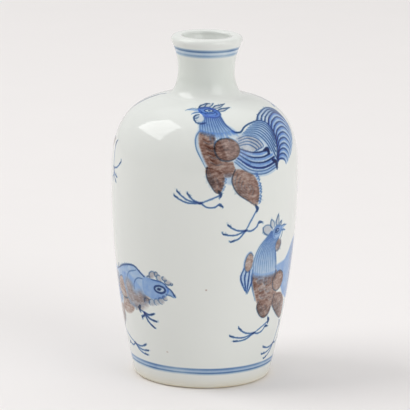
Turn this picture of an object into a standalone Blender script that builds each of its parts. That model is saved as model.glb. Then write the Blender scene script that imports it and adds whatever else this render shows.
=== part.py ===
"""A porcelain snuff bottle: one hollow turned body with a full shoulder, a short waisted neck, a rolled lip
and a shallow foot ring. Metres, +Z up, the origin at the centre of the foot."""

import bpy
from mathutils import Vector
from mathutils.geometry import interpolate_bezier

# Lengths along the axis, from the foot up: to the widest point, on to the shoulder's top, and on to the lip
BELLY_HEIGHT = 0.0465
SHOULDER_RISE = 0.0200
NECK_LENGTH = 0.0135
WAIST_RISE = 0.0051

# The body: its widest radius, how far the wall draws in to the foot, and its walls
BELLY_RADIUS = 0.0216
FOOT_DRAW_IN = 0.0059
WALL = 0.0026
FLOOR_THICKNESS = 0.0030
INSIDE_CORNER = 0.0040

# The way in, and what is turned round it: each is measured outwards from the one before
BORE_RADIUS = 0.0049
MOUTH_FLARE = 0.0007
LIP_WIDTH = 0.00265
NECK_WALL = 0.00165
NECK_SPREAD = 0.00285

# The lip, and how far the neck stays slender above its waist before it flares out to it
MOUTH_DEPTH = 0.0030
MOUTH_EDGE = 0.0007
LIP_EDGE = 0.0010
LIP_UNDERCUT = 0.0008
NECK_RISE = 0.0050

# The foot ring
FOOT_EDGE = 0.0010
FOOT_RING_WIDTH = 0.0018
FOOT_RECESS = 0.0014
RECESS_SLOPE = 0.0006

# How full the shoulder is and how the wall draws in to the foot: exponents of the two curves
SHOULDER_FULLNESS = 3.0
FOOT_TAPER = 1.95

# How far a curve's handles reach towards the corner that it rounds
ROUND = 0.55
SOFT = 0.65

# Facets
SIDES = 48
BODY_STEPS = 11
SHOULDER_STEPS = 11
BLEND_STEPS = 6
EDGE_STEPS = 4

SHOULDER_HEIGHT = BELLY_HEIGHT + SHOULDER_RISE
WAIST_HEIGHT = SHOULDER_HEIGHT + WAIST_RISE
HEIGHT = SHOULDER_HEIGHT + NECK_LENGTH
MOUTH_RADIUS = BORE_RADIUS + MOUTH_FLARE
LIP_RADIUS = MOUTH_RADIUS + LIP_WIDTH
NECK_RADIUS = BORE_RADIUS + NECK_WALL
NECK_ROOT_RADIUS = NECK_RADIUS + NECK_SPREAD

PORCELAIN = (0.80, 0.83, 0.80, 1.0)


def clear_scene():
    for old in list(bpy.data.objects):
        bpy.data.objects.remove(old)


def point(radius, height):
    """A point of the profile, in the XZ plane."""
    return Vector((radius, 0.0, height))


def wall_point(height, inset):
    """The body's wall below the belly, inset from the outer surface."""
    drop = (BELLY_HEIGHT - height) / BELLY_HEIGHT
    return point(BELLY_RADIUS - inset - FOOT_DRAW_IN * drop**FOOT_TAPER, height)


def shoulder_point(radius, inset):
    """The shoulder where it has that radius, inset from the outer surface."""
    share = radius / (BELLY_RADIUS - inset)
    rise = (1.0 - share**SHOULDER_FULLNESS) ** (1.0 / SHOULDER_FULLNESS)
    return point(radius, BELLY_HEIGHT + (SHOULDER_RISE - inset) * rise)


def wall_curve(low, inset):
    """The wall from that height up to the belly, without the belly's own point."""
    climb = BELLY_HEIGHT - low
    return [wall_point(low + climb * step / BODY_STEPS, inset) for step in range(BODY_STEPS)]


def shoulder_curve(top_radius, inset):
    """The shoulder from the belly in to that radius, closer together where it turns over."""
    span = BELLY_RADIUS - inset - top_radius
    shares = [(step / SHOULDER_STEPS) ** SHOULDER_FULLNESS for step in range(SHOULDER_STEPS)]
    turned = [shoulder_point(top_radius + span * (1.0 - share), inset) for share in shares]
    return turned + [shoulder_point(top_radius, inset)]


def blend(start, leaving, arriving, end):
    """A curve between two points, without the points: it leaves and arrives along its two handles."""
    return interpolate_bezier(start, leaving, arriving, end, BLEND_STEPS + 1)[1:-1]


def soft_corner(before, corner, after):
    """A wide corner, without its two ends."""
    return blend(before, before.lerp(corner, SOFT), after.lerp(corner, SOFT), after)


def round_corner(before, corner, after):
    """A small corner rounded from before to after, both included."""
    leaving = before.lerp(corner, ROUND)
    arriving = after.lerp(corner, ROUND)
    return interpolate_bezier(before, leaving, arriving, after, EDGE_STEPS + 1)


def inside_profile():
    """From the middle of the floor up the cavity's wall and the bore to the mouth's edge."""
    floor = FLOOR_THICKNESS + FOOT_RECESS
    corner = wall_point(floor, WALL)
    floor_end = point(corner.x - INSIDE_CORNER, floor)
    wall_start = floor + INSIDE_CORNER
    inside = [point(0.0, floor)]
    inside += round_corner(floor_end, corner, wall_point(wall_start, WALL))[:-1]
    inside += wall_curve(wall_start, WALL)
    shoulder_end = shoulder_point(BORE_RADIUS + WALL / 2, WALL)
    inside += shoulder_curve(shoulder_end.x, WALL)
    bore_foot = point(BORE_RADIUS, SHOULDER_HEIGHT - WALL / 2)
    inside += soft_corner(shoulder_end, point(BORE_RADIUS, shoulder_end.z), bore_foot)
    bore_head = point(BORE_RADIUS, HEIGHT - MOUTH_DEPTH)
    mouth_foot = point(MOUTH_RADIUS, HEIGHT - MOUTH_EDGE)
    rise = point(0.0, MOUTH_EDGE)
    inside += [bore_foot, bore_head]
    inside += blend(bore_head, bore_head + rise, mouth_foot - rise, mouth_foot)
    return inside


def lip_profile():
    """Over the lip: the mouth's rounded edge, the flat that a stopper's collar sits on, and the rolled edge."""
    mouth = point(MOUTH_RADIUS, HEIGHT)
    rim = point(LIP_RADIUS, HEIGHT)
    lip = round_corner(mouth - point(0.0, MOUTH_EDGE), mouth, mouth + point(MOUTH_EDGE, 0.0))
    lip += round_corner(rim - point(LIP_EDGE, 0.0), rim, rim - point(0.0, LIP_EDGE))
    return lip


def neck_profile():
    """Down from the lip's widest point through the waist to where the neck meets the shoulder."""
    under_lip = point(LIP_RADIUS, HEIGHT - LIP_EDGE)
    waist = point(NECK_RADIUS, WAIST_HEIGHT)
    root = shoulder_point(NECK_ROOT_RADIUS, 0.0)
    flare = blend(under_lip, under_lip - point(0.0, LIP_UNDERCUT), waist + point(0.0, NECK_RISE), waist)
    return flare + [waist] + soft_corner(waist, point(NECK_RADIUS, root.z), root)


def outside_profile():
    """Down over the shoulder and the belly to the foot's rounded edge."""
    outside = shoulder_curve(NECK_ROOT_RADIUS, 0.0)[::-1]
    outside += wall_curve(FOOT_EDGE, 0.0)[::-1]
    return outside


def foot_profile():
    """Round the foot's edge, across the flat ring that it stands on, and into the recess under the floor."""
    edge = wall_point(0.0, 0.0)
    ring_outer = point(edge.x - FOOT_EDGE, 0.0)
    ring_inner = point(ring_outer.x - FOOT_RING_WIDTH, 0.0)
    recess = point(ring_inner.x - RECESS_SLOPE, FOOT_RECESS)
    foot = round_corner(wall_point(FOOT_EDGE, 0.0), edge, ring_outer)[1:]
    foot += [ring_inner, recess, point(0.0, FOOT_RECESS)]
    return foot


def turned(name, profile, collection):
    """A solid turned about Z from a profile that starts and ends on the axis."""
    mesh = bpy.data.meshes.new(name)
    edges = [(n, n + 1) for n in range(len(profile) - 1)]
    mesh.from_pydata(profile, edges, [])
    turned_object = bpy.data.objects.new(name, mesh)
    collection.objects.link(turned_object)
    screw = turned_object.modifiers.new("turn", "SCREW")
    screw.axis = "Z"
    screw.steps = SIDES
    screw.render_steps = SIDES
    screw.use_merge_vertices = True
    screw.merge_threshold = 0.00001
    screw.use_smooth_shade = True
    return turned_object


def glazed_porcelain():
    """White hard-paste porcelain under a faintly green-blue clear glaze."""
    material = bpy.data.materials.new("glazed_porcelain")
    material.use_nodes = True
    shader = material.node_tree.nodes["Principled BSDF"]
    shader.inputs["Base Color"].default_value = PORCELAIN
    shader.inputs["Roughness"].default_value = 0.12
    shader.inputs["Metallic"].default_value = 0.0
    return material


def build():
    clear_scene()
    collection = bpy.data.collections.new("snuff_bottle")
    bpy.context.scene.collection.children.link(collection)
    profile = inside_profile() + lip_profile()
    profile += neck_profile() + outside_profile() + foot_profile()
    bottle = turned("bottle", profile, collection)
    bottle.data.materials.append(glazed_porcelain())


build()
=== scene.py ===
import math

import bpy
import numpy as np
from mathutils import Matrix, Vector
from mathutils.geometry import delaunay_2d_cdt, interpolate_bezier


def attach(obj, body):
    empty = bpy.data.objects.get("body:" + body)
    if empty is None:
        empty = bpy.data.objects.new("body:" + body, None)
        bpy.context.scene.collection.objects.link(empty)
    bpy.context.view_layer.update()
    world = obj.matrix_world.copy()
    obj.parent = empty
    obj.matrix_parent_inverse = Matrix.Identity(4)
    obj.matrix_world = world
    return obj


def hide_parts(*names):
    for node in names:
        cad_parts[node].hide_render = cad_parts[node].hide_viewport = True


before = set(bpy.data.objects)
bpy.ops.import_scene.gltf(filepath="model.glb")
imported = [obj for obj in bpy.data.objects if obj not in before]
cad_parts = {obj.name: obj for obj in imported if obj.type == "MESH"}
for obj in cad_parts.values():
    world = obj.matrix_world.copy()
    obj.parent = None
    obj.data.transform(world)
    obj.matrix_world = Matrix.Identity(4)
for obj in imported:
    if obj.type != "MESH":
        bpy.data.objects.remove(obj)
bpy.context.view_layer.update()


# The turned body: hard-paste porcelain thrown and turned on a wheel, hollow, with a short waisted neck, a
# rolled lip and a shallow foot ring. Its inside, lip and neck are one turning, its foot another, and the
# wall that carries the painting comes between them.
BELLY_HEIGHT = 0.0465
SHOULDER_RISE = 0.0200
NECK_LENGTH = 0.0135
WAIST_RISE = 0.0051
BELLY_RADIUS = 0.0216
FOOT_DRAW_IN = 0.0059
WALL = 0.0026
FLOOR_THICKNESS = 0.0030
INSIDE_CORNER = 0.0040
BORE_RADIUS = 0.0049
MOUTH_FLARE = 0.0007
LIP_WIDTH = 0.00265
NECK_WALL = 0.00165
NECK_SPREAD = 0.00285
MOUTH_DEPTH = 0.0030
MOUTH_EDGE = 0.0007
LIP_EDGE = 0.0010
LIP_UNDERCUT = 0.0008
NECK_RISE = 0.0050
FOOT_EDGE = 0.0008
FOOT_RING_WIDTH = 0.0018
FOOT_RECESS = 0.0014
RECESS_SLOPE = 0.0006
RECESS_CORNER = 0.00035
SHOULDER_FULLNESS = 3.0
FOOT_TAPER = 1.95
ROUND = 0.55
SOFT = 0.65
ROOT_SOFT = 0.55
RECESS_ROUND = 0.3
TURNS = 128
WALL_STEPS = 20
EDGE_STEPS = 6
BLEND_STEPS = 12
SPIN_WELD = 0.000005

SHOULDER_HEIGHT = BELLY_HEIGHT + SHOULDER_RISE
WAIST_HEIGHT = SHOULDER_HEIGHT + WAIST_RISE
HEIGHT = SHOULDER_HEIGHT + NECK_LENGTH
MOUTH_RADIUS = BORE_RADIUS + MOUTH_FLARE
LIP_RADIUS = MOUTH_RADIUS + LIP_WIDTH
NECK_RADIUS = BORE_RADIUS + NECK_WALL
NECK_ROOT_RADIUS = NECK_RADIUS + NECK_SPREAD


def point(radius, height):
    return Vector((radius, 0.0, height))


def wall_point(height, inset):
    drop = (BELLY_HEIGHT - height) / BELLY_HEIGHT
    return point(BELLY_RADIUS - inset - FOOT_DRAW_IN * drop**FOOT_TAPER, height)


def shoulder_point(radius, inset):
    share = radius / (BELLY_RADIUS - inset)
    rise = (1.0 - share**SHOULDER_FULLNESS) ** (1.0 / SHOULDER_FULLNESS)
    return point(radius, BELLY_HEIGHT + (SHOULDER_RISE - inset) * rise)


def wall_curve(low, inset, steps):
    """The wall from that height up to the belly, without the belly's own point."""
    return [wall_point(low + (BELLY_HEIGHT - low) * step / steps, inset) for step in range(steps)]


def shoulder_curve(top_radius, inset, steps):
    """The shoulder from the belly in to that radius, closer together where it turns over."""
    span = BELLY_RADIUS - inset - top_radius
    shares = [(step / steps) ** SHOULDER_FULLNESS for step in range(steps)]
    turned = [shoulder_point(top_radius + span * (1.0 - share), inset) for share in shares]
    return turned + [shoulder_point(top_radius, inset)]


def blend(start, leaving, arriving, end):
    return interpolate_bezier(start, leaving, arriving, end, BLEND_STEPS + 1)[1:-1]


def soft_corner(before, corner, after, reach=SOFT):
    return blend(before, before.lerp(corner, reach), after.lerp(corner, reach), after)


def round_corner(before, corner, after):
    leaving = before.lerp(corner, ROUND)
    arriving = after.lerp(corner, ROUND)
    return interpolate_bezier(before, leaving, arriving, after, EDGE_STEPS + 1)


floor_height = FLOOR_THICKNESS + FOOT_RECESS
corner = wall_point(floor_height, WALL)
floor_end = point(corner.x - INSIDE_CORNER, floor_height)
wall_start = floor_height + INSIDE_CORNER
inside = [point(0.0, floor_height), point(floor_end.x / 2, floor_height)]
inside += round_corner(floor_end, corner, wall_point(wall_start, WALL))[:-1]
inside += wall_curve(wall_start, WALL, WALL_STEPS)
shoulder_end = shoulder_point(BORE_RADIUS + WALL / 2, WALL)
inside += shoulder_curve(shoulder_end.x, WALL, WALL_STEPS)
bore_foot = point(BORE_RADIUS, SHOULDER_HEIGHT - WALL / 2)
inside += soft_corner(shoulder_end, point(BORE_RADIUS, shoulder_end.z), bore_foot)
bore_head = point(BORE_RADIUS, HEIGHT - MOUTH_DEPTH)
mouth_foot = point(MOUTH_RADIUS, HEIGHT - MOUTH_EDGE)
rise = point(0.0, MOUTH_EDGE)
inside += [bore_foot, bore_foot.lerp(bore_head, 0.5), bore_head]
inside += blend(bore_head, bore_head + rise, mouth_foot - rise, mouth_foot)

mouth = point(MOUTH_RADIUS, HEIGHT)
rim = point(LIP_RADIUS, HEIGHT)
lip = round_corner(mouth - point(0.0, MOUTH_EDGE), mouth, mouth + point(MOUTH_EDGE, 0.0))
lip += round_corner(rim - point(LIP_EDGE, 0.0), rim, rim - point(0.0, LIP_EDGE))

under_lip = point(LIP_RADIUS, HEIGHT - LIP_EDGE)
waist = point(NECK_RADIUS, WAIST_HEIGHT)
neck_root = shoulder_point(NECK_ROOT_RADIUS, 0.0)
neck = blend(under_lip, under_lip - point(0.0, LIP_UNDERCUT), waist + point(0.0, NECK_RISE), waist)
neck += [waist] + soft_corner(waist, point(NECK_RADIUS, neck_root.z), neck_root, ROOT_SOFT) + [neck_root]

foot_edge = wall_point(0.0, 0.0)
ring_outer = point(foot_edge.x - FOOT_EDGE, 0.0)
ring_inner = point(ring_outer.x - FOOT_RING_WIDTH, 0.0)
recess = point(ring_inner.x - RECESS_SLOPE, FOOT_RECESS)
foot = round_corner(wall_point(FOOT_EDGE, 0.0), foot_edge, ring_outer)
small = point(RECESS_CORNER, 0.0)
foot += round_corner(ring_inner + small, ring_inner, ring_inner.lerp(recess, RECESS_ROUND))
foot += round_corner(recess.lerp(ring_inner, RECESS_ROUND), recess, recess - small)
foot += [point(recess.x / 2, FOOT_RECESS), point(0.0, FOOT_RECESS)]


def turned(name, profile):
    """A profile drawn point by point from a single vertex, spun once round Z, and closed where it meets."""
    bpy.ops.object.select_all(action="DESELECT")
    bpy.ops.mesh.primitive_plane_add(size=0.001, location=profile[0])
    piece = bpy.context.object
    piece.name = name
    bpy.ops.object.transform_apply(location=True, rotation=True, scale=True)
    bpy.ops.object.mode_set(mode="EDIT")
    bpy.ops.mesh.merge(type="CENTER")
    for before, after in zip(profile, profile[1:]):
        bpy.ops.mesh.extrude_region_move(TRANSFORM_OT_translate={"value": after - before})
    bpy.ops.mesh.select_all(action="SELECT")
    bpy.ops.mesh.spin(steps=TURNS, angle=math.tau, center=(0.0, 0.0, 0.0), axis=(0.0, 0.0, 1.0))
    bpy.ops.mesh.select_all(action="SELECT")
    bpy.ops.mesh.remove_doubles(threshold=SPIN_WELD)
    bpy.ops.object.mode_set(mode="OBJECT")
    return piece


bottle = turned("porcelain_bottle", inside + lip + neck)
foot_ring = turned("foot_ring", foot)


# The wall under the painting: the body's outer face between the foot's edge and the root of the neck, laid
# out flat as its angle by the length along the profile, in millimetres, so that the painter's marks keep
# their sizes on it. Arc is measured up the wall from the plane that the bottle stands on.
MM = 0.001
ARC_STEPS = 400
wall = wall_curve(0.0, 0.0, ARC_STEPS) + shoulder_curve(NECK_ROOT_RADIUS, 0.0, ARC_STEPS)
wall_radii = np.array([place.x for place in wall]) / MM
wall_heights = np.array([place.z for place in wall]) / MM
wall_arcs = np.concatenate([[0.0], np.cumsum(np.hypot(np.diff(wall_radii), np.diff(wall_heights)))])
FOOT_ARC = float(np.interp(FOOT_EDGE / MM, wall_heights, wall_arcs))
ROOT_ARC = float(wall_arcs[-1])
GIRTH = BELLY_RADIUS / MM


def radius_at(arc):
    return np.interp(arc, wall_arcs, wall_radii)


# The painting: roosters in underglaze cobalt blue and copper brown, brushed on the raw body with a fine
# pointed brush, so a line swells and thins, fades as the brush empties, and pools at a wash's edge.
# A figure is drawn in millimetres facing left, and set down on the wall by angle and arc.
BRUSH_STEP = 0.36
chance = np.random.default_rng(11)
marks = []
pen = {}


def hold(at=(0.0, 0.0), turn=0.0, mirror=1.0, size=1.0):
    """Moves, turns or sizes what is drawn next, as for a head that is drawn round its own middle."""
    c, s = math.cos(math.radians(turn)) * size, math.sin(math.radians(turn)) * size
    pen.update(at=at, turning=np.array([[c * mirror, s * mirror], [-s, c]]))


hold()


def through(points, closed=False):
    """A smooth line through a few points, in steps of about a third of a millimetre."""
    points = np.array(points, float) @ pen["turning"] + pen["at"]
    if closed:
        padded = np.vstack([points[-1:], points, points[:2]])
    else:
        padded = np.vstack([2 * points[:1] - points[1:2], points, 2 * points[-1:] - points[-2:-1]])
    line = []
    for before, start, end, after in zip(padded, padded[1:], padded[2:], padded[3:]):
        count = max(2, math.ceil(math.dist(start, end) / BRUSH_STEP))
        t = np.arange(count)[:, None] / count
        bend = (2 * before - 5 * start + 4 * end - after) * t**2
        swerve = (3 * start - before - 3 * end + after) * t**3
        line.append(start + 0.5 * ((end - before) * t + bend + swerve))
    return np.vstack(line + ([] if closed else [points[-1:]]))


def brush(points, width=0.3, ink=0.7, ends=(0.7, 0.3), fade=0.2, pigment="line"):
    """One stroke: its width at both ends as a share of its middle, and how far it fades along its length."""
    line = through(points)
    along = np.linspace(0.0, 1.0, len(line))
    swell = np.interp(along, (0.0, 0.3, 0.65, 1.0), (ends[0], 1.0, 1.0, ends[1]))
    ink = ink * (1.0 - fade * along)
    marks.append({"kind": "stroke", "line": line, "half": width / 2 * swell, "ink": ink,
                  "pigment": pigment})


def wash(points, ink=0.5, pool=0.25, pigment="wash", clears=False, soft=0.13):
    """A filled area, a little deeper along its edge, which is as soft as its blur in millimetres. One that
    clears leaves nothing of what is under it."""
    outline = through(points, closed=True)
    marks.append({"kind": "area", "line": outline, "ink": ink, "pool": pool, "pigment": pigment,
                  "clears": clears, "soft": soft})


def hatch(guides, count, shift=0.0, jitter=0.12, **stroke):
    """Strokes fanned between guide strokes that have the same number of points."""
    guides = np.array(guides, float)
    spacing = (len(guides) - 1) / max(1, count - 1)
    for place in np.linspace(0.0, len(guides) - 1, count) + shift * spacing:
        place = min(max(place, 0.0), len(guides) - 1)
        low = min(int(place), len(guides) - 2)
        line = guides[low] + (guides[low + 1] - guides[low]) * (place - low)
        line[-1] += (line[-1] - line[-2]) * chance.uniform(-jitter, jitter)
        brush(line, **stroke)


def ground(guides, **area):
    """The wash under a fan of strokes, along its first and last guide and across their ends."""
    middle = guides[1:-1]
    outline = list(guides[0]) + [guide[-1] for guide in middle]
    outline += list(guides[-1][::-1]) + [guide[0] for guide in middle[::-1]]
    wash(outline, **area)


def oval(centre, across, up, lean=0.0):
    turn = math.radians(lean)
    spots = [(across * math.cos(a), up * math.sin(a)) for a in np.arange(8) * math.tau / 8]
    c, s = math.cos(turn), math.sin(turn)
    return [(centre[0] + c * x - s * y, centre[1] + s * x + c * y) for x, y in spots]


def lobes(shapes, copper=0.1, line=0.9):
    """Lobes of a comb or a wattle, each from its root to its tip and so wide: flames, or loops when wide."""
    for root, tip, width in shapes:
        root, tip = np.array(root), np.array(tip)
        length = math.dist(root, tip)
        side = np.array((root[1] - tip[1], tip[0] - root[0])) / length * width / 2
        steps = ((0.0, 0.5), (0.35, 1.0), (0.8, min(0.8, width / length)))
        rising = [root + (tip - root) * share - side * out for share, out in steps]
        falling = [root + (tip - root) * share + side * out for share, out in steps[::-1]]
        wash(rising + [tip] + falling, ink=0.2, pool=0.1, clears=True)
        wash(rising + [tip] + falling, ink=copper, pool=0.0, pigment="copper", soft=0.25)
        brush(rising + [tip], width=0.22, ink=line * 0.65, ends=(0.6, 0.9), fade=0.0)
        brush([tip] + falling, width=0.3, ink=line, ends=(0.9, 0.6), fade=0.0)


def eye(at, across=0.95, up=0.55, ring=0.2, pupil=0.4):
    outline = oval(at, across, up)
    wash(outline, ink=0.35, pool=0.0, clears=True)
    brush(outline[2:] + outline[:3], width=ring, ink=0.95, ends=(1.0, 1.0), fade=0.0)
    brush([(at[0], at[1]), (at[0] + across * 0.3, at[1])], width=pupil, ink=1.1, ends=(0.8, 0.8), fade=0.0)


FLAMES = [((2.4, 0.2), (5.5, 1.5), 1.0), ((1.8, 1.5), (4.9, 3.4), 1.1), ((0.2, 2.0), (3.2, 5.2), 1.2),
          ((-1.4, 1.4), (1.2, 4.2), 0.9)]
WATTLE = [((-2.0, -1.4), (-3.1, -3.6), 1.8)]


def head(at, turn=0.0, mirror=1.0, blue=1.85, size=1.0, comb=FLAMES, wattle=WATTLE):
    """Head, open beak, comb and wattle round the middle of the head."""
    hold(at, turn, mirror, size)
    lobes(comb, line=1.1)
    wash([(-2.0, 0.8), (-0.9, 1.8), (0.7, 2.0), (2.0, 1.0), (2.5, -0.9), (1.2, -2.2), (-0.6, -2.0),
          (-1.8, -0.9)], ink=blue, clears=True)
    wash([(-2.0, 1.0), (-3.4, 1.0), (-4.7, 0.5), (-3.2, 0.2), (-1.9, -0.1)], ink=0.6)
    brush([(-2.0, 1.1), (-3.4, 1.0), (-4.8, 0.4)], width=0.24, ink=0.55)
    brush([(-2.0, -0.4), (-3.0, -0.5), (-4.0, -1.0)], width=0.5, ink=0.8, pigment="wash")
    brush([(-2.1, -0.3), (-3.0, -0.4), (-4.1, -1.1)], width=0.2, ink=0.5)
    eye((0.3, 0.4))
    brush([(-2.2, 1.0), (-0.9, 1.8), (0.7, 2.0), (2.0, 1.0)], ink=blue * 0.3, fade=0.0)
    brush([(-1.7, -0.2), (-0.6, -0.7), (1.0, -0.6), (1.9, 0.2)], width=0.25, ink=blue * 0.3, fade=0.0)
    brush([(-1.2, 1.3), (0.2, 1.5), (1.6, 0.9)], ink=blue * 0.3)
    brush([(1.5, 0.2), (1.8, -0.8), (1.2, -1.5)], ink=blue * 0.25)
    brush([(-1.6, 0.4), (-1.3, -0.3), (-0.6, -1.3)], width=0.25, ink=blue * 0.2)
    brush([(1.6, 1.3), (2.4, 0.2), (2.5, -1.2), (1.4, -2.1), (-0.6, -1.9)], width=0.28, ink=blue * 0.3)
    if wattle:
        lobes(wattle, copper=0.04, line=0.2)
        brush([(-2.3, -1.1), (-3.2, -1.4), (-3.9, -2.3), (-3.8, -3.5), (-2.9, -4.0), (-1.7, -3.7)],
              width=0.34, ink=1.0, ends=(0.5, 0.9), fade=0.0)
        brush([(-3.9, -2.5), (-3.2, -2.3), (-2.7, -1.9)], width=0.26)
    hold()


NECK = [[(-6.0, 11.6), (-7.1, 9.4), (-7.6, 7.3)], [(-4.8, 11.6), (-5.3, 9.2), (-5.4, 6.5)],
        [(-3.4, 11.8), (-3.3, 9.2), (-2.8, 6.3)], [(-2.1, 12.5), (-1.5, 9.2), (0.2, 6.9)]]


def neck_feathers(guides=NECK, count=12, tone=0.6):
    """Hackles that fan out and pale as they fall, between a darker nape and a lighter throat."""
    ground(guides, ink=tone, pool=0.1, clears=True, soft=0.5)
    hatch(guides, count, shift=0.45, width=0.5, ink=tone, fade=0.8, ends=(1.0, 0.5), pigment="wash")
    tips = [[np.array(guide[-1]) * share + np.array(guide[-2]) * (1.0 - share)
             for share in (0.85, 1.1, 1.5)] for guide in guides]
    hatch(tips, count, shift=0.5, jitter=0.9, width=0.6, ink=tone * 1.2, ends=(0.8, 0.1), pigment="wash")
    hatch(guides, count, width=0.2, ink=tone, fade=0.5, jitter=0.2)
    brush(guides[-1], ink=tone + 0.1, fade=0.1)
    brush(guides[0], width=0.22, ink=tone, fade=0.3)


TAIL = [
    [(6.8, 9.2), (8.4, 11.1), (12.2, 12.1), (16.8, 10.5), (20.1, 7.0)],
    [(9.9, 7.4), (11.5, 9.4), (15.0, 10.0), (18.8, 7.8), (20.9, 4.4)],
    [(11.5, 4.1), (12.9, 5.9), (15.8, 6.2), (18.4, 4.4), (19.6, 1.8)],
    [(11.8, 1.0), (13.0, 2.4), (15.0, 2.5), (16.8, 1.2), (17.5, -0.4)],
    [(11.0, -1.8), (11.9, -0.7), (13.4, -0.7), (14.5, -1.4), (14.9, -2.2)],
]
SADDLE = [
    [(2.0, 6.3), (5.2, 5.6), (8.0, 3.0), (10.2, -1.2)],
    [(3.2, 7.2), (6.4, 6.8), (9.0, 4.4), (11.0, 0.8)],
    [(4.6, 8.3), (7.6, 7.9), (9.8, 6.0), (11.4, 3.2)],
    [(6.6, 9.2), (8.6, 8.9), (10.1, 7.8), (11.0, 6.0)],
]
COVERTS = [
    [(0.8, 5.3), (3.0, 5.9), (5.6, 5.0), (7.2, 3.2), (6.4, 2.6)],
    [(0.9, 4.5), (3.0, 4.9), (5.0, 4.1), (6.2, 2.9), (5.4, 2.3)],
    [(0.9, 3.7), (2.8, 3.9), (4.4, 3.2), (5.2, 2.4), (4.4, 2.0)],
]
PRIMARIES = [
    [(0.9, 3.0), (3.6, 2.0), (6.2, 1.8), (8.2, 2.2)],
    [(0.8, 2.0), (3.6, 0.4), (6.8, 0.0), (9.6, 0.6)],
    [(0.3, 0.9), (3.4, -1.2), (7.0, -1.8), (10.8, -0.9)],
    [(-0.6, 0.1), (3.0, -2.6), (7.2, -3.2), (11.0, -2.2)],
]


def tail(plumes=13):
    ground(TAIL, ink=0.1, pool=0.1)
    ground(TAIL[1:], ink=0.4, pool=0.0)
    hatch(TAIL[1:], plumes - 3, shift=0.3, width=0.55, ink=1.1, fade=0.6, ends=(1.2, 0.4), pigment="wash")
    hatch(TAIL[:2], 4, shift=0.3, width=0.5, ink=0.5, fade=0.3, ends=(1.2, 0.4), pigment="wash")
    hatch(TAIL, plumes, width=0.28, ink=1.15, fade=0.5, ends=(1.3, 0.25))


def rump():
    """The saddle feathers that fall from the back to the root of the tail."""
    ground(SADDLE, ink=0.3, pool=0.1, clears=True)
    hatch(SADDLE, 9, shift=0.4, width=0.36, ink=0.3, fade=-0.8, pigment="wash")
    hatch(SADDLE, 9, width=0.2, ink=0.5, fade=-0.8, ends=(0.7, 1.3))
    brush([(9.6, 8.3), (11.2, 6.0), (11.6, 2.4), (11.0, -1.6)], width=0.4, ink=0.85, ends=(0.4, 1.0),
          fade=0.0)
    brush([(-1.8, 9.5), (-0.7, 8.0), (0.1, 7.1), (1.0, 6.8), (1.9, 7.0), (3.0, 8.1), (4.8, 8.9),
           (7.4, 9.3), (9.2, 8.5)], width=0.34, ink=1.05)


def wing(ink=1.1, across=3.0, up=2.6):
    """A copper shoulder, grey covert loops behind it, and long flight feathers with dark tips below."""
    wash([(0.4, 5.6), (3.4, 6.1), (6.6, 4.8), (8.6, 2.6), (11.6, -1.6), (8.6, -3.6), (3.0, -3.4),
          (-0.8, -0.6)], ink=0.3, pool=0.1, clears=True)
    wash([(0.4, 5.4), (3.2, 5.8), (5.8, 4.6), (7.0, 3.0), (4.0, 2.2), (0.8, 3.0)],
         ink=0.16, pool=0.2, pigment="copper", soft=0.3)
    hatch(COVERTS, 4, jitter=0.0, width=0.4, ink=0.35, fade=-0.3, pigment="wash")
    hatch(COVERTS, 4, jitter=0.0, width=0.18, ink=0.36, fade=-0.6)
    hatch(PRIMARIES[:3], 4, shift=0.35, width=0.62, ink=0.75, fade=-0.3, ends=(0.7, 0.9), pigment="wash")
    hatch(PRIMARIES[2:], 2, shift=-0.3, width=0.6, ink=0.4, fade=-0.2, ends=(0.7, 0.9), pigment="wash")
    hatch(PRIMARIES[:3], 4, width=0.26, ink=0.95, fade=-0.5, ends=(0.6, 1.3))
    hatch(PRIMARIES[2:], 3, width=0.22, ink=0.5, fade=-0.2, ends=(0.6, 1.0))
    brush([(7.2, 2.0), (8.3, 2.2), (8.7, 1.2)], width=0.9, ink=1.2, fade=0.0, ends=(0.6, 0.6))
    brush([(9.7, -0.4), (10.9, -1.1), (11.2, -2.6)], width=0.8, ink=1.2, fade=0.0, ends=(0.6, 0.5))
    wash(oval((-2.1, 3.0), across, up, -8.0), ink=ink, pigment="copper", clears=True)
    below = [(-0.3, 1.0), (-0.85, 0.6), (-0.95, -0.2), (-0.6, -0.85), (0.1, -1.0), (0.8, -0.7)]
    above = [(-0.4, 0.9), (0.3, 1.0), (0.9, 0.5), (1.0, -0.3)]
    for edge, stroke in ((below, (0.34, 0.5, 0.2)), (above, (0.22, 0.4, 0.0))):
        width, tone, fade = stroke
        brush([(-2.1 + across * x, 3.0 + up * y) for x, y in edge], width=width, ink=tone, fade=fade)
    for n in range(4):
        y = 4.6 - 0.9 * n
        brush([(-3.9, y - 0.3), (-2.2, y + 0.2), (-0.4, y)], width=0.45, ink=ink * 1.5, fade=0.5,
              ends=(0.4, 0.2), pigment="copper")


def breast(ink=0.78):
    wash([(-7.4, 7.2), (-8.3, 4.8), (-7.7, 1.6), (-6.4, -1.2), (-4.2, -2.9), (-1.0, -3.0), (0.6, -0.6),
          (-3.4, 1.0), (-5.0, 3.2), (-4.6, 6.4)], ink=ink, pool=0.2, pigment="copper", clears=True, soft=0.25)
    for n in range(4):
        y = 5.6 - 1.6 * n
        brush([(-7.4 + 0.4 * n, y), (-6.4 + 0.5 * n, y - 0.7), (-5.2 + 0.6 * n, y - 0.4)],
              width=0.5, ink=ink * 1.7, ends=(0.5, 0.3), pigment="copper")
        brush([(-7.2 + 0.4 * n, y - 0.7), (-6.2 + 0.5 * n, y - 1.3), (-5.0 + 0.6 * n, y - 1.0)],
              width=0.2, ink=0.25)
    brush([(-7.2, 8.2), (-8.6, 5.9), (-8.8, 3.3), (-7.9, 0.8), (-6.9, -1.4)], width=0.8, ink=0.4,
          pigment="wash")
    brush([(-7.2, 8.0), (-8.8, 5.8), (-9.1, 3.4), (-8.2, 0.9), (-7.1, -1.5)], width=0.22, ink=0.45)


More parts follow.
